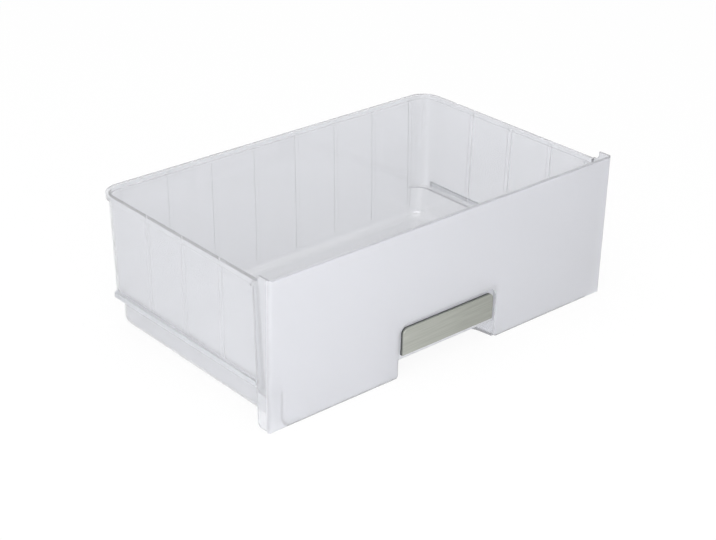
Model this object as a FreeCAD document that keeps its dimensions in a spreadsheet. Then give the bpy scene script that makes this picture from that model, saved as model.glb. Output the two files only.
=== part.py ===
"""Crisper drawer of a refrigerator: one clear moulded drawer and the trim strip in its grip.

X runs across the drawer, Y from the front face to the rear and Z up. The origin is the centre of the base.
Every length is in millimetres.
"""
import FreeCAD
import Part
import Sketcher
import math
import os
from FreeCAD import Vector

SIZES = {
    # Front panel, which is also the front wall, and its side flanges
    "panel_width": 494.0,
    "panel_rise": 9.5,
    "panel_thickness": 2.6,
    "panel_corner_radius": 2.5,
    "panel_edge_radius": 2.0,
    "panel_side_radius": 4.5,
    "panel_overhang": 2.0,
    "flange_depth": 25.5,
    "flange_foot_depth": 17.0,
    "flange_top_depth": 17.0,
    "flange_thickness": 2.6,
    "flange_corner_radius": 5.0,
    "flange_blend_radius": 7.5,
    # Tub
    "overall_depth": 300.0,
    "rim_height": 161.5,
    "wall_thickness": 2.4,
    "floor_thickness": 2.6,
    "side_lean": 2.5,
    "side_taper": 2.0,
    "rear_lean": 4.5,
    "corner_radius": 22.0,
    "bottom_radius": 13.0,
    # Rim lip, with the gussets under its front ends
    "lip_overhang": 3.0,
    "lip_height": 5.5,
    "gusset_height": 8.0,
    "gusset_thickness": 1.4,
    "gusset_count": 2,
    "gusset_gap": 4.0,
    "gusset_pitch": 4.6,
    # Narrower lower part of the tub, and the runners above it
    "ledge_height": 40.5,
    "ledge_inset": 9.0,
    "runner_stand": 1.5,
    "runner_face": 5.5,
    "runner_height": 8.0,
    "runner_rear_gap": 23.0,
    # Grip: the notch in the panel, the bar across it and the finger pocket behind
    "notch_width": 144.0,
    "notch_height": 62.0,
    "notch_radius": 12.0,
    "notch_foot_radius": 4.0,
    "recess_depth": 4.0,
    "bar_bottom": 20.0,
    "bar_thickness": 2.4,
    "pocket_depth": 35.0,
    "pocket_lean": 5.0,
    "pocket_radius": 16.0,
    "pocket_rise": 0.4,
    "hood_edge_radius": 4.0,
    # Trim strip on the bar
    "trim_gap": 5.2,
    "trim_foot": 5.2,
    "trim_thickness": 3.6,
    "trim_edge_radius": 0.6,
    # Shallow ribs inside the walls
    "rib_width": 5.5,
    "rear_rib_stand": 0.4,
    "side_rib_stand": 0.8,
    "rib_end_gap": 2.0,
    "rear_rib_count": 8,
    "rear_rib_margin": 6.0,
    "side_rib_count": 3,
    "side_rib_front_gap": 60.5,
    "side_rib_rear_gap": 63.0,
}

# Share of a wall or edge that a rounding may take up at most
ROUNDING_LIMIT = 0.8
# Thicknesses of the panel or a flange that the rounding between them may reach at most
SIDE_ROUNDING_LIMIT = 2
# Share of the rim lip's overhang that the gussets under it reach
GUSSET_REACH = 0.75
SAME_PLACE = 0.01


class Size:
    """A length together with the sheet expression that gives it."""

    def __init__(self, number, text):
        self.number = number
        self.text = text

    def __add__(self, other):
        other = as_size(other)
        return Size(self.number + other.number, f"({self.text} + {other.text})")

    def __sub__(self, other):
        other = as_size(other)
        return Size(self.number - other.number, f"({self.text} - {other.text})")

    def __mul__(self, other):
        other = as_size(other)
        return Size(self.number * other.number, f"({self.text} * {other.text})")

    def __truediv__(self, other):
        other = as_size(other)
        return Size(self.number / other.number, f"({self.text} / {other.text})")

    def __neg__(self):
        return Size(-self.number, f"(-{self.text})")


def as_size(value):
    """Takes a plain number as a size that no cell drives."""
    return value if isinstance(value, Size) else Size(float(value), f"{float(value)}")


def least(*sizes):
    """Gives the smallest of some sizes."""
    texts = "; ".join(size.text for size in sizes)
    return Size(min(size.number for size in sizes), f"min({texts})")


NONE = as_size(0)

doc = FreeCAD.newDocument("crisper_drawer")
sheet = doc.addObject("Spreadsheet::Sheet", "sizes")
size = {}
for row, (alias, number) in enumerate(SIZES.items(), start=1):
    sheet.set(f"A{row}", alias)
    sheet.set(f"B{row}", str(number))
    sheet.setAlias(f"B{row}", alias)
    size[alias] = Size(number, f"sizes.{alias}")
doc.recompute()

# Places that several features share
half_width = size["panel_width"] / 2
panel_height = size["rim_height"] + size["panel_rise"]
flange_inside = half_width - size["flange_thickness"]
rim_half = half_width - size["panel_overhang"] - size["lip_overhang"]
rim_rear = size["overall_depth"] - size["lip_overhang"]
ledge_half = rim_half - size["side_lean"]
ledge_rear = rim_rear - size["rear_lean"]
lower_half = ledge_half - size["ledge_inset"]
ledge_top = size["ledge_height"] + size["wall_thickness"]
notch_half = size["notch_width"] / 2
bar_back = size["recess_depth"] + size["bar_thickness"]
pocket_height = size["notch_height"] + size["pocket_rise"]
rib_head = size["rim_height"] - size["rib_end_gap"]


def new_body(label):
    """Starts a piece whose own frame has its zero of Y at the front face of the panel."""
    body = doc.addObject("PartDesign::Body", label)
    body.Label = label
    body.setExpression("Placement.Base.y", (-(size["overall_depth"] / 2)).text)
    return body


def origin_plane(body, role):
    """Finds one of a body's own base planes."""
    return next(item for item in body.Origin.OriginFeatures if item.Role == role)


def new_sketch(body, role, name, offset=NONE):
    """Starts a sketch on a base plane, moved along the plane's normal by an offset."""
    sketch = body.newObject("Sketcher::SketchObject", name)
    sketch.AttachmentSupport = [(origin_plane(body, role), "")]
    sketch.MapMode = "FlatFace"
    sketch.setExpression("AttachmentOffset.Base.z", offset.text)
    return sketch


def bind(sketch, constraint, length):
    """Adds a dimension to a sketch and ties it to the sheet."""
    index = sketch.addConstraint(Sketcher.Constraint(*constraint, length.number))
    sketch.setExpression(f"Constraints[{index}]", length.text)


def corner_arc(before, here, after, radius):
    """Works out the arc that rounds a corner: where it starts, where it ends, its curve and its turn."""
    towards_before = (before - here).normalize()
    towards_after = (after - here).normalize()
    half_angle = towards_before.getAngle(towards_after) / 2
    setback = radius / math.tan(half_angle)
    entry = here + towards_before * setback
    leave = here + towards_after * setback
    centre = here + (towards_before + towards_after).normalize() * (radius / math.sin(half_angle))
    left_turn = towards_after.cross(towards_before).z > 0
    first, last = (entry, leave) if left_turn else (leave, entry)
    angles = [math.atan2(point.y - centre.y, point.x - centre.x) for point in (first, last)]
    if angles[1] < angles[0]:
        angles[1] += 2 * math.pi
    return entry, leave, Part.ArcOfCircle(Part.Circle(centre, Vector(0, 0, 1), radius), *angles), left_turn


def draw_outline(sketch, corners):
    """Draws a closed outline through (x, y, radius) corners, where no radius leaves a corner sharp."""
    places = [Vector(x.number, y.number, 0) for x, y, _ in corners]
    count = len(corners)
    rounds = []
    for index, (_, _, radius) in enumerate(corners):
        here = places[index]
        if radius is None:
            rounds.append((here, here, None, True))
        else:
            after = places[(index + 1) % count]
            rounds.append(corner_arc(places[index - 1], here, after, radius.number))
    points = []
    lines = []
    for index, (x, y, _) in enumerate(corners):
        points.append(sketch.addGeometry(Part.Point(places[index]), True))
        bind(sketch, ("DistanceX", -1, 1, points[index], 1), x)
        bind(sketch, ("DistanceY", -1, 1, points[index], 1), y)
        ends = (rounds[index][1], rounds[(index + 1) % count][0])
        lines.append(sketch.addGeometry(Part.LineSegment(*ends), False))
    for index, (_, _, radius) in enumerate(corners):
        arriving, leaving, point = lines[index - 1], lines[index], points[index]
        if radius is None:
            sketch.addConstraint(Sketcher.Constraint("Coincident", arriving, 2, point, 1))
            sketch.addConstraint(Sketcher.Constraint("Coincident", leaving, 1, point, 1))
            continue
        _, _, curve, left_turn = rounds[index]
        arc = sketch.addGeometry(curve, False)
        first_end, last_end = (1, 2) if left_turn else (2, 1)
        sketch.addConstraint(Sketcher.Constraint("Tangent", arriving, 2, arc, first_end))
        sketch.addConstraint(Sketcher.Constraint("Tangent", arc, last_end, leaving, 1))
        sketch.addConstraint(Sketcher.Constraint("PointOnObject", point, 1, arriving))
        sketch.addConstraint(Sketcher.Constraint("PointOnObject", point, 1, leaving))
        bind(sketch, ("Radius", arc), radius)
    return sketch


def new_feature(body, kind, name):
    """Starts a feature that leaves the seams between faces where they are."""
    feature = body.newObject(f"PartDesign::{kind}", name)
    feature.Refine = False
    body.Tip = feature
    return feature


def extrude(body, kind, name, sketch, length, reverse=False):
    """Pads a sketch, or pockets it, over a length."""
    feature = new_feature(body, kind, name)
    feature.Profile = sketch
    feature.setExpression("Length", length.text)
    feature.Reversed = reverse
    return feature


def loft(body, kind, name, lower_sketch, upper_sketch):
    """Joins two outlines at different heights by straight walls."""
    feature = new_feature(body, kind, name)
    feature.Profile = lower_sketch
    feature.Sections = [upper_sketch]
    feature.Ruled = True
    return feature


def mirror(body, name, originals):
    """Repeats features on the other side of the drawer's middle plane."""
    feature = new_feature(body, "Mirrored", name)
    feature.Originals = originals
    feature.MirrorPlane = (origin_plane(body, "YZ_Plane"), [""])
    return feature


def round_edges(body, name, base, radius, wanted):
    """Rounds those edges of a feature that a test picks out."""
    doc.recompute()
    edges = [f"Edge{number}" for number, edge in enumerate(base.Shape.Edges, start=1) if wanted(edge)]
    feature = new_feature(body, "Fillet", name)
    feature.Base = (base, edges)
    feature.setExpression("Radius", radius.text)
    return feature


def is_at(edge, axis, place):
    """Tells whether an edge lies flat at a place along an axis."""
    box = edge.BoundBox
    low, high = getattr(box, f"{axis}Min"), getattr(box, f"{axis}Max")
    return abs(low - place.number) < SAME_PLACE and abs(high - place.number) < SAME_PLACE


def is_floor_edge(edge, height):
    """Tells whether an edge runs round the sides or the rear of the tub's floor at a height."""
    return is_at(edge, "Z", height) and edge.BoundBox.YMax > size["flange_depth"].number


def is_hood_edge(edge, height):
    """Tells whether an edge runs round the sides or the back of the hood's top at a height."""
    return is_at(edge, "Z", height) and edge.BoundBox.YMax > size["panel_thickness"].number + SAME_PLACE


def side_line(half, y, inset):
    """Gives the x of a tapering side wall at a depth."""
    return half - inset - size["side_taper"] * y / size["overall_depth"]


def tub_sketch(body, name, height, half, rear, front, inset):
    """Draws the tub's plan at a height: straight across the front, rounded at the rear corners."""
    back = rear - inset
    front_x = side_line(half, front, inset)
    rear_x = side_line(half, back, inset)
    radius = size["corner_radius"] - inset
    corners = [
        (-front_x, front, None), (front_x, front, None),
        (rear_x, back, radius), (-rear_x, back, radius),
    ]
    return draw_outline(new_sketch(body, "XY_Plane", name, height), corners)


def add_lower_tub(body):
    """Builds the tub below its ledge, rounded along the bottom inside and out."""
    wall = size["wall_thickness"]
    front = size["panel_thickness"]
    height = size["ledge_height"]
    floor = size["floor_thickness"]
    outside = tub_sketch(body, "lower_outline", height, lower_half, ledge_rear, front, NONE)
    extrude(body, "Pad", "lower_tub", outside, height, reverse=True)
    inside = tub_sketch(body, "lower_space", height, lower_half, ledge_rear, front, wall)
    cavity = extrude(body, "Pocket", "lower_cavity", inside, height - floor)
    outer_radius = size["bottom_radius"]
    inner_radius = outer_radius - wall
    hollow = round_edges(
        body, "floor_rounding", cavity, inner_radius, lambda edge: is_floor_edge(edge, floor)
    )
    round_edges(body, "bottom_rounding", hollow, outer_radius, lambda edge: is_floor_edge(edge, NONE))


def add_upper_tub(body):
    """Builds the outside of the tub above its ledge as a solid block, with its rim lip."""
    front = size["panel_thickness"]
    wide = tub_sketch(body, "wide_outline", size["ledge_height"], ledge_half, ledge_rear, front, NONE)
    rim = tub_sketch(body, "rim_outline", size["rim_height"], rim_half, rim_rear, front, NONE)
    loft(body, "AdditiveLoft", "upper_tub", wide, rim)
    lip_foot = size["rim_height"] - size["lip_height"]
    lip = tub_sketch(body, "lip_outline", lip_foot, rim_half, rim_rear, front, -size["lip_overhang"])
    extrude(body, "Pad", "rim_lip", lip, size["lip_height"])


def add_runners(body):
    """Adds the straight runner along each side, under which the fridge's rails pass."""
    root = ledge_half - size["ledge_inset"] / 2
    outside = ledge_half + size["runner_stand"]
    wall_rear = side_line(ledge_half, size["overall_depth"], NONE)
    foot = size["ledge_height"]
    head = foot + size["runner_height"]
    face_head = foot + least(size["runner_face"], size["runner_height"] * ROUNDING_LIMIT)
    corners = [
        (root, foot, None), (outside, foot, None), (outside, face_head, None),
        (wall_rear, head, None), (root, head, None),
    ]
    front = size["panel_thickness"]
    section = draw_outline(new_sketch(body, "XZ_Plane", "runner_section", -front), corners)
    length = size["overall_depth"] - size["runner_rear_gap"] - front
    runner = extrude(body, "Pad", "runner", section, length, reverse=True)
    mirror(body, "runners", [runner])


def add_panel(body):
    """Builds the front panel with the notch in its foot, and rounds its front edges."""
    corner = size["panel_corner_radius"]
    head = [
        (half_width, NONE, corner), (half_width, panel_height, None),
        (-half_width, panel_height, None), (-half_width, NONE, corner),
    ]
    notch = notch_corners(NONE, NONE, size["notch_foot_radius"])
    panel = draw_outline(new_sketch(body, "XZ_Plane", "panel_outline"), head + notch[::-1])
    plate = extrude(body, "Pad", "front_panel", panel, size["panel_thickness"], reverse=True)
    edge_radius = least(size["panel_edge_radius"], size["panel_thickness"] * ROUNDING_LIMIT)
    round_edges(body, "panel_rounding", plate, edge_radius, lambda edge: is_at(edge, "Y", NONE))


def flange_line(height):
    """Gives how far back the flanges' sloping rear edge lies at a height."""
    foot = size["panel_corner_radius"]
    share = (height - foot) / (size["rim_height"] - foot)
    return size["flange_foot_depth"] + (size["flange_depth"] - size["flange_foot_depth"]) * share


def collar_corners(foot, inset):
    """Gives the collar's side view from a foot up to the rim, shrunk at its rear by an inset."""
    front = size["panel_thickness"]
    rim = size["rim_height"]
    return [
        (front, foot, None), (flange_line(foot) - inset, foot, None),
        (flange_line(rim) - inset, rim, None), (front, rim, None),
    ]


def add_flanges(body):
    """Adds the flanges at the panel's sides and the collar that joins them to the tub."""
    front = size["panel_thickness"]
    foot = size["panel_corner_radius"]
    rim = size["rim_height"]
    top_run = size["flange_depth"] - size["flange_top_depth"]
    blend_limit = least(size["panel_rise"], top_run) * ROUNDING_LIMIT
    blend = least(size["flange_blend_radius"], blend_limit)
    flange_corners = [
        (front, foot, None), (size["flange_foot_depth"], foot, size["flange_corner_radius"]),
        (size["flange_depth"], rim, None), (size["flange_top_depth"], rim, blend),
        (size["flange_top_depth"], panel_height, None), (front, panel_height, None),
    ]
    side = draw_outline(new_sketch(body, "YZ_Plane", "flange_outline", flange_inside), flange_corners)
    flange = extrude(body, "Pad", "flange", side, size["flange_thickness"])
    mirror(body, "flanges", [flange])
    collar = new_sketch(body, "YZ_Plane", "collar_outline", -half_width)
    draw_outline(collar, collar_corners(size["ledge_height"], NONE))
    extrude(body, "Pad", "collar", collar, size["panel_width"])


def round_panel_sides(body):
    """Cuts the upright edges between the panel and its flanges round, over their whole height."""
    limit = least(size["panel_thickness"], size["flange_thickness"]) * SIDE_ROUNDING_LIMIT
    radius = least(size["panel_side_radius"], limit)
    reach = radius * 2
    inside = half_width - reach
    outside = half_width + radius
    corners = [
        (inside, -radius, None), (inside, NONE, None), (half_width, NONE, radius),
        (half_width, reach, None), (outside, reach, None), (outside, -radius, None),
    ]
    waste = draw_outline(new_sketch(body, "XY_Plane", "side_rounding_outline", -radius), corners)
    cut = extrude(body, "Pocket", "side_rounding", waste, panel_height + reach, reverse=True)
    mirror(body, "side_roundings", [cut])


def hollow_out(body):
    """Cuts the space inside the upper tub and the collar, down to the space below the ledge."""
    wall = size["wall_thickness"]
    front = size["panel_thickness"]
    wide = tub_sketch(body, "wide_space", ledge_top, ledge_half, ledge_rear, front, wall)
    rim = tub_sketch(body, "rim_space", size["rim_height"], rim_half, rim_rear, front, wall)
    loft(body, "SubtractiveLoft", "upper_cavity", wide, rim)
    ledge = tub_sketch(body, "ledge_space", ledge_top, lower_half, ledge_rear, front, wall)
    extrude(body, "Pocket", "ledge_opening", ledge, wall)
    collar = new_sketch(body, "YZ_Plane", "collar_space", flange_inside)
    draw_outline(collar, collar_corners(ledge_top, wall))
    extrude(body, "Pocket", "collar_hollow", collar, flange_inside * 2)


def pocket_corners(front, inset):
    """Gives the finger pocket's plan from a front line back, grown or shrunk by an inset."""
    back = size["pocket_depth"] - inset
    lean = size["pocket_lean"] / size["pocket_depth"]
    front_x = notch_half - inset - lean * front
    back_x = notch_half - inset - lean * back
    radius = size["pocket_radius"] - inset
    return [
        (-front_x, front, None), (front_x, front, None),
        (back_x, back, radius), (-back_x, back, radius),
    ]


def notch_corners(inset, foot, foot_radius):
    """Gives the notch's arched outline from a foot upwards, shrunk by an inset."""
    half = notch_half - inset
    head = size["notch_height"] - inset
    radius = size["notch_radius"] - inset
    return [
        (half, foot, foot_radius), (half, head, radius),
        (-half, head, radius), (-half, foot, foot_radius),
    ]


def add_grip(body):
    """Builds the grip: a hood inside the tub, the notch with its bar, and the space for the fingers."""
    wall = size["wall_thickness"]
    hood_plan = new_sketch(body, "XY_Plane", "hood_outline")
    draw_outline(hood_plan, pocket_corners(size["panel_thickness"], -wall))
    hood_height = pocket_height + wall
    hood = extrude(body, "Pad", "hood", hood_plan, hood_height)
    hood_radius = size["hood_edge_radius"]
    round_edges(body, "hood_rounding", hood, hood_radius, lambda edge: is_hood_edge(edge, hood_height))
    reach = notch_half + size["notch_foot_radius"] * 2
    below = -size["notch_foot_radius"]
    foot = [(-reach, NONE, None), (-reach, below, None), (reach, below, None), (reach, NONE, None)]
    recess = new_sketch(body, "XZ_Plane", "recess_outline", -size["panel_thickness"])
    draw_outline(recess, foot + notch_corners(NONE, NONE, size["notch_foot_radius"]))
    extrude(body, "Pocket", "recess", recess, size["recess_depth"] - size["panel_thickness"])
    under_bar = new_sketch(body, "XY_Plane", "under_bar_outline")
    draw_outline(under_bar, pocket_corners(NONE, NONE))
    extrude(body, "Pocket", "under_bar", under_bar, size["bar_bottom"], reverse=True)
    fingers = new_sketch(body, "XY_Plane", "finger_outline")
    draw_outline(fingers, pocket_corners(bar_back, NONE))
    extrude(body, "Pocket", "finger_space", fingers, pocket_height, reverse=True)


def wall_lean(foot_place, head_place, height):
    """Gives the place of the upper wall at a height, between its places at the ledge and at the rim."""
    share = (height - ledge_top) / (size["rim_height"] - ledge_top)
    return foot_place + (head_place - foot_place) * share


def add_rear_ribs(body):
    """Adds the row of shallow ribs up the rear wall, from the floor's rounding to the rim."""
    wall = size["wall_thickness"]
    foot = size["bottom_radius"] + size["rib_end_gap"]
    low_face = ledge_rear - wall
    high_face = wall_lean(ledge_rear, rim_rear, rib_head) - wall
    stand = size["rear_rib_stand"]
    root = wall / 2
    corners = [
        (low_face - stand, foot, None), (low_face + root, foot, None),
        (low_face + root, ledge_top, None), (high_face + root, rib_head, None),
        (high_face - stand, rib_head, None), (low_face - stand, ledge_top, None),
    ]
    span = side_line(rim_half, rim_rear, size["corner_radius"]) - size["rear_rib_margin"]
    section = new_sketch(body, "YZ_Plane", "rear_rib_section", -span - size["rib_width"] / 2)
    rib = extrude(body, "Pad", "rear_rib", draw_outline(section, corners), size["rib_width"])
    row = new_feature(body, "LinearPattern", "rear_ribs")
    row.Originals = [rib]
    row.Direction = (section, ["N_Axis"])
    row.setExpression("Length", (span * 2).text)
    row.setExpression("Occurrences", size["rear_rib_count"].text)


def add_side_ribs(body):
    """Adds the shallow ribs up both side walls, from the ledge to the rim."""
    wall = size["wall_thickness"]
    first = size["flange_depth"] + size["side_rib_front_gap"]
    last = rim_rear - size["corner_radius"] - size["side_rib_rear_gap"]
    gaps = max(SIZES["side_rib_count"] - 1, 1)
    ribs = []
    for index in range(SIZES["side_rib_count"]):
        middle = first + (last - first) * index / gaps
        near = middle - size["rib_width"] / 2
        far = middle + size["rib_width"] / 2
        sections = []
        for name, height in (("foot", ledge_top + size["rib_end_gap"]), ("head", rib_head)):
            half = wall_lean(ledge_half, rim_half, height)
            inside = wall + size["side_rib_stand"]
            corners = [
                (side_line(half, near, inside), near, None), (side_line(half, near, wall / 2), near, None),
                (side_line(half, far, wall / 2), far, None), (side_line(half, far, inside), far, None),
            ]
            sketch = new_sketch(body, "XY_Plane", f"side_rib_{name}_{index + 1}", height)
            sections.append(draw_outline(sketch, corners))
        ribs.append(loft(body, "AdditiveLoft", f"side_rib_{index + 1}", *sections))
    mirror(body, "side_ribs", ribs)


def add_gussets(body):
    """Adds the pair of small gussets under the front end of each lip."""
    root = rim_half - size["wall_thickness"] / 2
    tip = rim_half + size["lip_overhang"] * GUSSET_REACH
    head = size["rim_height"] - size["lip_height"]
    corners = [(root, head - size["gusset_height"], None), (tip, head, None), (root, head, None)]
    gussets = []
    for index in range(SIZES["gusset_count"]):
        place = size["flange_depth"] + size["gusset_gap"] + size["gusset_pitch"] * index
        sketch = draw_outline(new_sketch(body, "XZ_Plane", f"gusset_section_{index + 1}", -place), corners)
        thickness = size["gusset_thickness"]
        gussets.append(extrude(body, "Pad", f"gusset_{index + 1}", sketch, thickness, reverse=True))
    mirror(body, "gussets", gussets)


def make_drawer_body():
    """Builds the clear moulding."""
    body = new_body("drawer_body")
    add_lower_tub(body)
    add_panel(body)
    add_upper_tub(body)
    add_runners(body)
    add_flanges(body)
    round_panel_sides(body)
    hollow_out(body)
    add_grip(body)
    add_rear_ribs(body)
    add_side_ribs(body)
    add_gussets(body)
    return body


def make_handle_trim():
    """Builds the trim strip that lies on the bar inside the notch."""
    body = new_body("handle_trim")
    foot = size["bar_bottom"] + size["trim_foot"]
    sketch = new_sketch(body, "XZ_Plane", "trim_outline", -size["recess_depth"])
    draw_outline(sketch, notch_corners(size["trim_gap"], foot, None))
    strip = extrude(body, "Pad", "strip", sketch, size["trim_thickness"])
    front = size["recess_depth"] - size["trim_thickness"]
    edge_radius = least(size["trim_edge_radius"], size["trim_thickness"] * ROUNDING_LIMIT)
    round_edges(body, "strip_rounding", strip, edge_radius, lambda edge: is_at(edge, "Y", front))
    return body


def write_pieces(pieces):
    """Checks that everything was built, then writes one file for each piece."""
    doc.recompute()
    failed = [item.Name for item in doc.Objects if {"Invalid", "Error"} & set(item.State)]
    if failed:
        raise RuntimeError(f"these features failed: {failed}")
    for piece in pieces:
        if piece.Shape.isNull() or not piece.Shape.isValid() or len(piece.Shape.Solids) != 1:
            raise RuntimeError(f"{piece.Label} is not one sound solid")
    os.makedirs("parts", exist_ok=True)
    for piece in pieces:
        piece.Shape.exportStep(f"parts/{piece.Label}.step")
        box = piece.Shape.optimalBoundingBox()
        spans = f"{box.XLength:.1f} x {box.YLength:.1f} x {box.ZLength:.1f}"
        print(f"{piece.Label}: {spans} mm, volume {piece.Shape.Volume / 1000:.1f} cm3")


write_pieces([make_drawer_body(), make_handle_trim()])
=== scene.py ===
"""Looks of a refrigerator's crisper drawer: a clear moulding with a brushed trim strip, in a white studio."""
import logging
import math
from dataclasses import dataclass
from enum import Enum
from typing import Any

import bmesh
import bpy
import numpy as np
from mathutils import Matrix, Vector


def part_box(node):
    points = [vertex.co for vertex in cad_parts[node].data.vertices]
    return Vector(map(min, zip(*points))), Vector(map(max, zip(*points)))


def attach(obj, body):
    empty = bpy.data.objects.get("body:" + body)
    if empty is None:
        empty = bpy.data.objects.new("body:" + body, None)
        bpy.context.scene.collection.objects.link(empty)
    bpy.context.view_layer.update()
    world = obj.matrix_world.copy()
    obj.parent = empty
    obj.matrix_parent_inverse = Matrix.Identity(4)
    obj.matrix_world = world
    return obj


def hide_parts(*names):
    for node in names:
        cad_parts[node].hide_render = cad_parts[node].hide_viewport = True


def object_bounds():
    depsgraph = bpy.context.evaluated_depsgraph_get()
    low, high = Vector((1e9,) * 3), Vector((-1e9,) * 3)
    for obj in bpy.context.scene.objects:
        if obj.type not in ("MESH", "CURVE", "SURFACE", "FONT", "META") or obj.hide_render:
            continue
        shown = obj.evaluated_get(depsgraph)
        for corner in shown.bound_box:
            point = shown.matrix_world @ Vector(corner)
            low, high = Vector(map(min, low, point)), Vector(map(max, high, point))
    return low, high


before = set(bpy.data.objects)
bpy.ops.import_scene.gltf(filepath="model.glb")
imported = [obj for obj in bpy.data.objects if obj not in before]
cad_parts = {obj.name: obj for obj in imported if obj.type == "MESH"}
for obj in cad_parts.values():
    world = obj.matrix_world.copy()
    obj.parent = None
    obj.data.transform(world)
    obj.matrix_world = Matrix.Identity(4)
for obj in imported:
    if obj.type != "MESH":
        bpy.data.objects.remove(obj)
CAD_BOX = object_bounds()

LOG = logging.getLogger("crisper_drawer")
MM = 0.001
BODY = "root"
DRAWER_SLOT = "clear_polystyrene"
IMAGE_WIDTH = 716
SENSOR_MM = 36.0
VIEW_REACH = 100.0
WHITE = "#ffffff"
# Numbers of a mix node's colour sockets, which share their names with its other sockets
MIX_FIRST, MIX_SECOND, MIX_RESULT = 6, 7, 2


class Lamp(Enum):
    """The studio's lamps, by what each one is for."""

    KEY = "key"
    TOP = "top"
    FILL = "fill"


def linear(colour: str) -> tuple[float, float, float, float]:
    """Turns an sRGB hex colour to linear light, by the straight and curved parts of the sRGB standard.

    Args:
        colour: six hex digits, with a leading hash.

    Returns:
        Red, green, blue and an alpha of one.
    """
    srgb = np.array([int(colour[i:i + 2], 16) for i in (1, 3, 5)]) / 255.0
    values = np.where(srgb <= 0.04045, srgb / 12.92, ((srgb + 0.055) / 1.055) ** 2.4)
    return (*values.tolist(), 1.0)


def add_node(tree: bpy.types.NodeTree, kind: str, inputs: dict[Any, Any], **settings: Any) -> bpy.types.Node:
    """Adds a node, sets it up and links what feeds it.

    Args:
        tree: the node tree that takes the node.
        kind: Blender's name of the node's type.
        inputs: a value or a feeding socket for each input, by name or number.
        settings: the node's own options.

    Returns:
        The new node.
    """
    node = tree.nodes.new(kind)
    for name, value in settings.items():
        setattr(node, name, value)
    for name, value in inputs.items():
        if isinstance(value, bpy.types.NodeSocket):
            tree.links.new(value, node.inputs[name])
        else:
            node.inputs[name].default_value = value
    return node


def new_material(name: str) -> bpy.types.Material:
    """Starts an empty node material.

    Args:
        name: the material's name.

    Returns:
        The material, with no nodes.
    """
    material = bpy.data.materials.new(name)
    material.use_nodes = True
    material.node_tree.nodes.clear()
    return material


def seen_share(tree: bpy.types.NodeTree) -> bpy.types.NodeSocket:
    """Tells rays that the eye follows, straight, mirrored or through clear walls, from those that only light.

    Args:
        tree: the node tree that takes the nodes.

    Returns:
        A socket that is one for rays from the eye and nought for the rest.
    """
    path = add_node(tree, "ShaderNodeLightPath", {})
    share = path.outputs["Is Camera Ray"]
    for ray in ("Is Glossy Ray", "Is Transmission Ray"):
        either = add_node(tree, "ShaderNodeMath", {0: share, 1: path.outputs[ray]}, operation="MAXIMUM")
        share = either.outputs["Value"]
    return share


@dataclass(frozen=True)
class ClearPolystyrene:
    """Injection-moulded clear polystyrene, a little cloudy all through but glossy at the skin."""

    name: str
    tint: str
    clearness: float
    haze: float
    haze_spread: float
    skin_roughness: float = 0.03
    skin_ior: float = 1.5
    ior: float = 1.59
    flow_mm: float = 70.0
    flow_detail: float = 2.0
    flow_falloff: float = 0.4
    flow_height_mm: float = 0.012

    def material(self) -> bpy.types.Material:
        """Builds the material: hazy refraction under a glossy coat, with a slow moulded waviness.

        Returns:
            The finished material.
        """
        material = new_material(self.name)
        tree = material.node_tree
        place = add_node(tree, "ShaderNodeTexCoord", {})
        # The melt sets in slow waves, which bend reflections in the flat walls by a hair
        flow = add_node(tree, "ShaderNodeTexNoise", {
            "Vector": place.outputs["Object"], "Scale": 1.0 / (self.flow_mm * MM),
            "Detail": self.flow_detail, "Roughness": self.flow_falloff,
        })
        wave = add_node(tree, "ShaderNodeBump", {
            "Height": flow.outputs["Fac"], "Strength": 1.0, "Distance": self.flow_height_mm * MM,
        })
        # Cloudiness varies slowly across a wall, so what lies behind blurs unevenly
        cloud = add_node(tree, "ShaderNodeMapRange", {
            "Value": flow.outputs["Fac"], "To Min": self.haze - self.haze_spread,
            "To Max": self.haze + self.haze_spread,
        })
        shader = add_node(tree, "ShaderNodeBsdfPrincipled", {
            "Base Color": linear(self.tint), "Roughness": cloud.outputs["Result"], "IOR": self.ior,
            "Transmission Weight": self.clearness,
            "Coat Weight": 1.0, "Coat Roughness": self.skin_roughness, "Coat IOR": self.skin_ior,
            "Normal": wave.outputs["Normal"], "Coat Normal": wave.outputs["Normal"],
        })
        add_node(tree, "ShaderNodeOutputMaterial", {"Surface": shader.outputs["BSDF"]})
        return material


# Polished steel moulds the tub, so one looks through its walls and sees their edges as thin lines
TUB_FINISH = ClearPolystyrene(
    "polystyrene_moulded_polished", tint="#f0f1f5", clearness=0.78, haze=0.14, haze_spread=0.02,
)
# Finely etched steel moulds the front panel, which therefore scatters the light and hides what is behind
PANEL_FINISH = ClearPolystyrene(
    "polystyrene_moulded_etched", tint="#e7e8ed", clearness=0.6, haze=0.42, haze_spread=0.04,
)
# The rails scuff the runners, which have gone dull and pale beside the clear walls
RUNNER_FINISH = ClearPolystyrene(
    "polystyrene_scuffed", tint="#eceef3", clearness=0.58, haze=0.46, haze_spread=0.06,
    skin_roughness=0.2,
)
# The ribs lie deep in the mould, where the steel stays as cut, so their flanks are matt; their near-white,
# mostly opaque tint is painted light that hides the dark lines their flanks would show
RIB_MATT_PAINTED_PALE = ClearPolystyrene(
    "polystyrene_matt_painted_pale", tint="#fcfcff", clearness=0.15, haze=0.5, haze_spread=0.05,
    skin_roughness=0.3,
)
FINISHES = (TUB_FINISH, PANEL_FINISH, RUNNER_FINISH, RIB_MATT_PAINTED_PALE)


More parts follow.
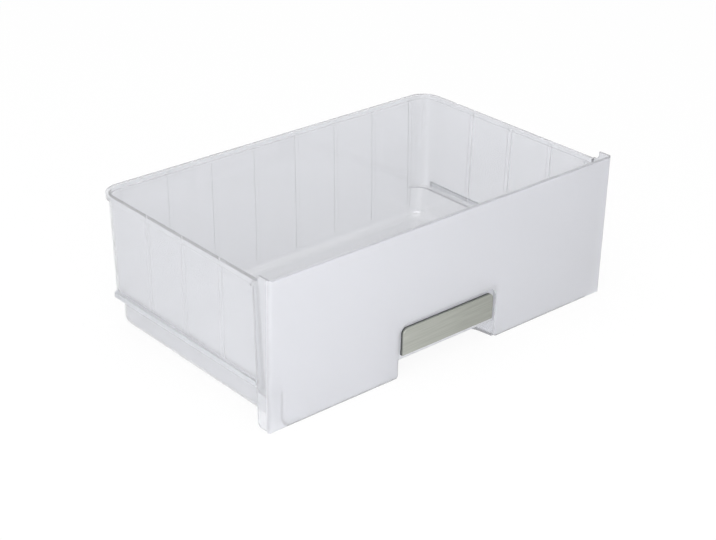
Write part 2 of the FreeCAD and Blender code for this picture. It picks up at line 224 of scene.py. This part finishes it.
@dataclass(frozen=True)
class BrushedTrim:
    """Aluminium foil strip, brushed along its length and lacquered grey-green, with a painted dark gap shadow
    on its sides and painted shade towards its right end.
    """

    front_y: float
    half_length: float
    tone_low: str = "#8b8d86"
    tone_high: str = "#bbbdb6"
    # Painted shade: how much the foil's tone darkens from its left end to its right end
    painted_shade_drift: float = 0.2
    # Painted shadow: the dark tone on the strip's sides and how deep behind the front it begins and is full
    painted_gap_shadow_tone: str = "#3c3e3d"
    foil_mm: float = 1.4
    gap_shadow_depth_mm: float = 2.8
    metallic: float = 0.9
    roughness: float = 0.34
    roughness_spread: float = 0.07
    line_mm: float = 1.2
    line_stretch: float = 40.0
    line_detail: float = 3.0
    line_falloff: float = 0.6
    line_height_mm: float = 0.004
    line_strength: float = 0.5

    def material(self) -> bpy.types.Material:
        """Builds the material: fine lines along X that vary the gloss and spread the highlight.

        Returns:
            The finished material.
        """
        material = new_material("aluminium_brushed_lacquered")
        tree = material.node_tree
        place = add_node(tree, "ShaderNodeTexCoord", {})
        scale = 1.0 / (self.line_mm * MM)
        along = add_node(tree, "ShaderNodeMapping", {
            "Vector": place.outputs["Object"], "Scale": (scale / self.line_stretch, scale, scale),
        })
        # Brush lines are drawn coarser than the real grit so that they show at this distance
        lines = add_node(tree, "ShaderNodeTexNoise", {
            "Vector": along.outputs["Vector"], "Scale": 1.0,
            "Detail": self.line_detail, "Roughness": self.line_falloff,
        })
        gloss = add_node(tree, "ShaderNodeMapRange", {
            "Value": lines.outputs["Fac"], "To Min": self.roughness - self.roughness_spread,
            "To Max": self.roughness + self.roughness_spread,
        })
        groove = add_node(tree, "ShaderNodeBump", {
            "Height": lines.outputs["Fac"], "Strength": self.line_strength,
            "Distance": self.line_height_mm * MM,
        })
        # Painted shadow: the strip's sides get a dark tone that stands in for the shadow in the gap, so a
        # thin dark line runs round the foil
        axes = add_node(tree, "ShaderNodeSeparateXYZ", {"Vector": place.outputs["Object"]})
        side = add_node(tree, "ShaderNodeMapRange", {
            "Value": axes.outputs["Y"], "From Min": self.front_y + self.foil_mm * MM,
            "From Max": self.front_y + self.gap_shadow_depth_mm * MM,
        })
        # Painted shade: the foil's tone drifts steadily darker towards the strip's right end
        drift = add_node(tree, "ShaderNodeMapRange", {
            "Value": axes.outputs["X"], "From Min": -self.half_length, "From Max": self.half_length,
            "To Min": self.painted_shade_drift, "To Max": -self.painted_shade_drift,
        })
        shade = add_node(tree, "ShaderNodeMath", {
            0: lines.outputs["Fac"], 1: drift.outputs["Result"],
        }, operation="ADD", use_clamp=True)
        foil = add_node(tree, "ShaderNodeMix", {
            "Factor": shade.outputs["Value"],
            MIX_FIRST: linear(self.tone_low), MIX_SECOND: linear(self.tone_high),
        }, data_type="RGBA")
        colour = add_node(tree, "ShaderNodeMix", {
            "Factor": side.outputs["Result"],
            MIX_FIRST: foil.outputs[MIX_RESULT], MIX_SECOND: linear(self.painted_gap_shadow_tone),
        }, data_type="RGBA")
        shader = add_node(tree, "ShaderNodeBsdfPrincipled", {
            "Base Color": colour.outputs[MIX_RESULT], "Metallic": self.metallic,
            "Roughness": gloss.outputs["Result"], "Normal": groove.outputs["Normal"],
        })
        add_node(tree, "ShaderNodeOutputMaterial", {"Surface": shader.outputs["BSDF"]})
        return material


@dataclass(frozen=True)
class StudioPaper:
    """White background paper, which looks white to the eye and through clear walls but keeps soft shadows."""

    tone: str = "#f7f7f7"
    lift: float = 0.91

    def material(self) -> bpy.types.Material:
        """Builds the material: matt paper, mixed with plain white for rays that come from the eye.

        Returns:
            The finished material.
        """
        material = new_material("paper_white_matt")
        tree = material.node_tree
        share = add_node(tree, "ShaderNodeMath", {0: seen_share(tree), 1: self.lift}, operation="MULTIPLY")
        paper = add_node(tree, "ShaderNodeBsdfDiffuse", {"Color": linear(self.tone)})
        white = add_node(tree, "ShaderNodeEmission", {"Color": linear(WHITE), "Strength": 1.0})
        both = add_node(tree, "ShaderNodeMixShader", {
            0: share.outputs["Value"], 1: paper.outputs["BSDF"], 2: white.outputs["Emission"],
        })
        add_node(tree, "ShaderNodeOutputMaterial", {"Surface": both.outputs["Shader"]})
        return material


@dataclass
class Moulding:
    """The clear drawer: a merged copy of its solid with a finish each for tub, panel, runners and ribs."""

    node: str
    name: str
    slot: str
    flat_deg: float = 2.0
    etched_mm: float = 4.5
    etched_deg: float = 80.0
    polished_edge_mm: float = 2.2
    runner_front_mm: float = 26.0
    runner_inside_mm: float = 238.2
    runner_low_mm: float = 40.3
    runner_high_mm: float = 48.6
    rib_span_mm: tuple[float, float] = (40.0, 280.0)
    rib_reach_mm: tuple[float, float] = (230.0, 239.0)
    merge_mm: float = 0.002
    normal_store: str = "true_normal"

    def build(self) -> bpy.types.Object:
        """Copies the solid's mesh and merges its loose triangles.

        The true normal at each corner of each face is kept aside meanwhile and then put back, so that flats
        stay flat and roundings stay smooth.

        Returns:
            The new piece, which stands for the node.
        """
        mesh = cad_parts[self.node].data.copy()
        mesh.name = self.name
        normals = np.empty(len(mesh.loops) * 3)
        mesh.corner_normals.foreach_get("vector", normals)
        mesh.attributes.new(self.normal_store, "FLOAT_VECTOR", "CORNER").data.foreach_set("vector", normals)
        skin = bmesh.new()
        skin.from_mesh(mesh)
        bmesh.ops.remove_doubles(skin, verts=skin.verts, dist=self.merge_mm * MM)
        skin.to_mesh(mesh)
        skin.free()
        mesh.shade_smooth()
        normals = np.empty(len(mesh.loops) * 3)
        mesh.attributes[self.normal_store].data.foreach_get("vector", normals)
        mesh.normals_split_custom_set(normals.reshape(-1, 3).tolist())
        mesh.attributes.remove(mesh.attributes[self.normal_store])
        piece = bpy.data.objects.new(self.name, mesh)
        bpy.context.scene.collection.objects.link(piece)
        return piece

    def panel_faces(self, middles: np.ndarray, facing: np.ndarray) -> np.ndarray:
        """Finds the etched faces: the panel's flats, and its roundings apart from those at its top and foot.

        Args:
            middles: the middle of each face, in millimetres from the front, the mid-plane and the base.
            facing: the normal of each face.

        Returns:
            True for each face that the panel's finish covers.
        """
        forwards = np.abs(facing[:, 1])
        top = (CAD_BOX[1][2] - CAD_BOX[0][2]) / MM
        flat = forwards > math.cos(math.radians(self.flat_deg))
        upright = (middles[:, 2] > self.polished_edge_mm) & (middles[:, 2] < top - self.polished_edge_mm)
        turned = upright & (forwards > math.cos(math.radians(self.etched_deg)))
        return (middles[:, 1] < self.etched_mm) & (flat | turned)

    def rib_faces(self, middles: np.ndarray, facing: np.ndarray) -> np.ndarray:
        """Finds the flanks of the ribs inside the side walls, which lie deep in the mould, are left matt and
        get a painted pale tint.

        Args:
            middles: the middle of each face, in millimetres from the front, the mid-plane and the base.
            facing: the normal of each face.

        Returns:
            True for each face that is a flank of a side rib.
        """
        reach = np.abs(middles[:, 0])
        beside = (reach > self.rib_reach_mm[0]) & (reach < self.rib_reach_mm[1])
        along = (middles[:, 1] > self.rib_span_mm[0]) & (middles[:, 1] < self.rib_span_mm[1])
        return beside & along & (np.abs(facing[:, 1]) > math.cos(math.radians(self.flat_deg)))

    def runner_faces(self, middles: np.ndarray) -> np.ndarray:
        """Finds the runners' faces: those behind the flanges, at the runners' height and outside the walls.

        Args:
            middles: the middle of each face, in millimetres from the front, the mid-plane and the base.

        Returns:
            True for each face that the runners' finish covers.
        """
        level = (middles[:, 2] > self.runner_low_mm) & (middles[:, 2] < self.runner_high_mm)
        outside = np.abs(middles[:, 0]) > self.runner_inside_mm
        return level & outside & (middles[:, 1] > self.runner_front_mm)

    def dress(self, piece: bpy.types.Object) -> None:
        """Gives tub, panel, runners and ribs their finishes, and the piece its place in the frame.

        Args:
            piece: what build returned.
        """
        mesh = piece.data
        mesh.materials.clear()
        for finish in FINISHES:
            mesh.materials.append(finish.material())
        middles = np.empty((len(mesh.polygons), 3))
        mesh.polygons.foreach_get("center", middles.ravel())
        facing = np.empty((len(mesh.polygons), 3))
        mesh.polygon_normals.foreach_get("vector", facing.ravel())
        middles = (middles - (0.0, CAD_BOX[0][1], CAD_BOX[0][2])) / MM
        finishes = np.full(len(mesh.polygons), FINISHES.index(TUB_FINISH), np.int32)
        finishes[self.panel_faces(middles, facing)] = FINISHES.index(PANEL_FINISH)
        # The side ribs' flanks get the matt finish with its painted pale tint
        finishes[self.rib_faces(middles, facing)] = FINISHES.index(RIB_MATT_PAINTED_PALE)
        finishes[self.runner_faces(middles)] = FINISHES.index(RUNNER_FINISH)
        mesh.polygons.foreach_set("material_index", finishes)
        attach(piece, BODY)
        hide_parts(self.node)


@dataclass
class TrimStrip:
    """The trim strip on the grip's bar, which keeps its solid."""

    node: str

    def dress(self) -> bpy.types.Object:
        """Gives the solid its finish, which turns from foil to a painted dark gap shadow just behind the
        strip's front.

        Returns:
            The dressed node.
        """
        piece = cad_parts[self.node]
        low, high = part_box(self.node)
        material = BrushedTrim(front_y=low[1], half_length=high[0]).material()
        for place in piece.material_slots:
            place.material = material
        return piece


@dataclass(frozen=True)
class Viewpoint:
    """The place and lens that give the photograph's view, in millimetres and pixels."""

    position_mm: tuple[float, float, float]
    forward: tuple[float, float, float]
    up: tuple[float, float, float]
    focal_px: float
    centre_px: tuple[float, float]

    def build(self) -> bpy.types.Object:
        """Sets up the camera: its axes are right, up and backwards, and its shift moves the optical centre.

        Returns:
            The camera object.
        """
        lens = bpy.data.cameras.new("viewpoint")
        lens.sensor_width = SENSOR_MM
        lens.lens = self.focal_px * SENSOR_MM / IMAGE_WIDTH
        lens.shift_x = -self.centre_px[0] / IMAGE_WIDTH
        lens.shift_y = self.centre_px[1] / IMAGE_WIDTH
        lens.clip_end = VIEW_REACH
        forward = Vector(self.forward).normalized()
        right = forward.cross(Vector(self.up)).normalized()
        up = right.cross(forward)
        turn = Matrix((right, up, -forward)).transposed().to_4x4()
        camera = bpy.data.objects.new("viewpoint", lens)
        camera.matrix_world = Matrix.Translation(Vector(self.position_mm) * MM) @ turn
        bpy.context.scene.collection.objects.link(camera)
        bpy.context.scene.camera = camera
        return camera


@dataclass(frozen=True)
class AreaLamp:
    """One square soft lamp that looks at the drawer."""

    role: Lamp
    azimuth_deg: float
    elevation_deg: float
    distance: float
    side: float
    power: float

    def build(self, target: Vector) -> bpy.types.Object:
        """Places the lamp on a sphere about a target and turns it there.

        Args:
            target: the point that the lamp looks at.

        Returns:
            The lamp object.
        """
        light = bpy.data.lights.new(f"lamp_{self.role.value}", "AREA")
        light.size = self.side
        light.energy = self.power
        azimuth, elevation = math.radians(self.azimuth_deg), math.radians(self.elevation_deg)
        flat = math.cos(elevation)
        away = Vector((math.sin(azimuth) * flat, -math.cos(azimuth) * flat, math.sin(elevation)))
        turn = away.to_track_quat("Z", "Y").to_matrix().to_4x4()
        lamp = bpy.data.objects.new(light.name, light)
        lamp.matrix_world = Matrix.Translation(target + away * self.distance) @ turn
        bpy.context.scene.collection.objects.link(lamp)
        return lamp


@dataclass
class Studio:
    """A white paper floor, a white room that looks greyer overhead, and soft lamps."""

    floor_size: float
    floor_drop_mm: float
    paper: StudioPaper
    room_low: str
    room_high: str
    room_strength: float
    lamps: tuple[AreaLamp, ...]
    floor_lines: int = 9
    room_fade: tuple[float, float] = (0.15, 0.9)

    def build_floor(self) -> bpy.types.Object:
        """Lays the floor: a flat grid, z constant, over the square |x|, |y| up to half its size.

        Returns:
            The floor object.
        """
        line = np.linspace(-0.5, 0.5, self.floor_lines) * self.floor_size
        x, y = np.meshgrid(line, line, indexing="xy")
        points = np.stack([x, y, np.full_like(x, -self.floor_drop_mm * MM)], axis=-1).reshape(-1, 3)
        index = np.arange(len(points)).reshape(len(line), len(line))
        corners = [index[:-1, :-1], index[:-1, 1:], index[1:, 1:], index[1:, :-1]]
        faces = np.stack(corners, axis=-1).reshape(-1, 4)
        mesh = bpy.data.meshes.new("studio_floor")
        mesh.from_pydata(points.tolist(), [], faces.tolist())
        mesh.materials.append(self.paper.material())
        floor = bpy.data.objects.new("studio_floor", mesh)
        bpy.context.scene.collection.objects.link(floor)
        return floor

    def build_room(self) -> bpy.types.World:
        """Makes the room: white low down and greyer overhead to the eye, and an even light on the drawer.

        Returns:
            The world.
        """
        world = bpy.data.worlds.new("studio_room")
        world.use_nodes = True
        tree = world.node_tree
        tree.nodes.clear()
        place = add_node(tree, "ShaderNodeTexCoord", {})
        axes = add_node(tree, "ShaderNodeSeparateXYZ", {"Vector": place.outputs["Generated"]})
        height = add_node(tree, "ShaderNodeMapRange", {
            "Value": axes.outputs["Z"], "From Min": self.room_fade[0], "From Max": self.room_fade[1],
        })
        tone = add_node(tree, "ShaderNodeMix", {
            "Factor": height.outputs["Result"],
            MIX_FIRST: linear(self.room_low), MIX_SECOND: linear(self.room_high),
        }, data_type="RGBA")
        light = add_node(tree, "ShaderNodeBackground", {
            "Color": linear(WHITE), "Strength": self.room_strength,
        })
        seen = add_node(tree, "ShaderNodeBackground", {"Color": tone.outputs[MIX_RESULT], "Strength": 1.0})
        mix = add_node(tree, "ShaderNodeMixShader", {
            0: seen_share(tree), 1: light.outputs["Background"], 2: seen.outputs["Background"],
        })
        add_node(tree, "ShaderNodeOutputWorld", {"Surface": mix.outputs["Shader"]})
        bpy.context.scene.world = world
        return world

    def build(self, target: Vector) -> None:
        """Builds the floor, the room and the lamps.

        Args:
            target: the point that the lamps look at.
        """
        self.build_floor()
        self.build_room()
        for lamp in self.lamps:
            lamp.build(target)


def main() -> None:
    """Builds the drawer's looks, the studio and the camera."""
    logging.basicConfig(level=logging.INFO)
    bpy.context.scene.view_settings.view_transform = "Standard"
    drawer = Moulding("drawer_body", "drawer_moulding", DRAWER_SLOT)
    shell = drawer.build()
    drawer.dress(shell)
    LOG.info("piece %s", shell.name)
    strip = TrimStrip("handle_trim").dress()
    LOG.info("piece %s", strip.name)
    middle = (Vector(CAD_BOX[0]) + Vector(CAD_BOX[1])) / 2
    Studio(
        floor_size=14.0, floor_drop_mm=0.3, paper=StudioPaper(), room_low=WHITE, room_high="#c4c4c4",
        room_strength=0.69,
        lamps=(
            AreaLamp(Lamp.KEY, azimuth_deg=-48.0, elevation_deg=16.0, distance=1.4, side=1.8, power=16.5),
            AreaLamp(Lamp.TOP, azimuth_deg=165.0, elevation_deg=80.0, distance=2.4, side=3.0, power=24.0),
            AreaLamp(Lamp.FILL, azimuth_deg=-34.0, elevation_deg=10.0, distance=0.85, side=0.46, power=1.2),
        ),
    ).build(middle)
    Viewpoint(
        position_mm=(-1124.5, -1247.0, 889.3), forward=(0.5946, 0.6670, -0.4490), up=(0.2822, 0.3498, 0.8933),
        focal_px=1664.7, centre_px=(-9.9, 1.0),
    ).build()


if __name__ == "__main__":
    main()
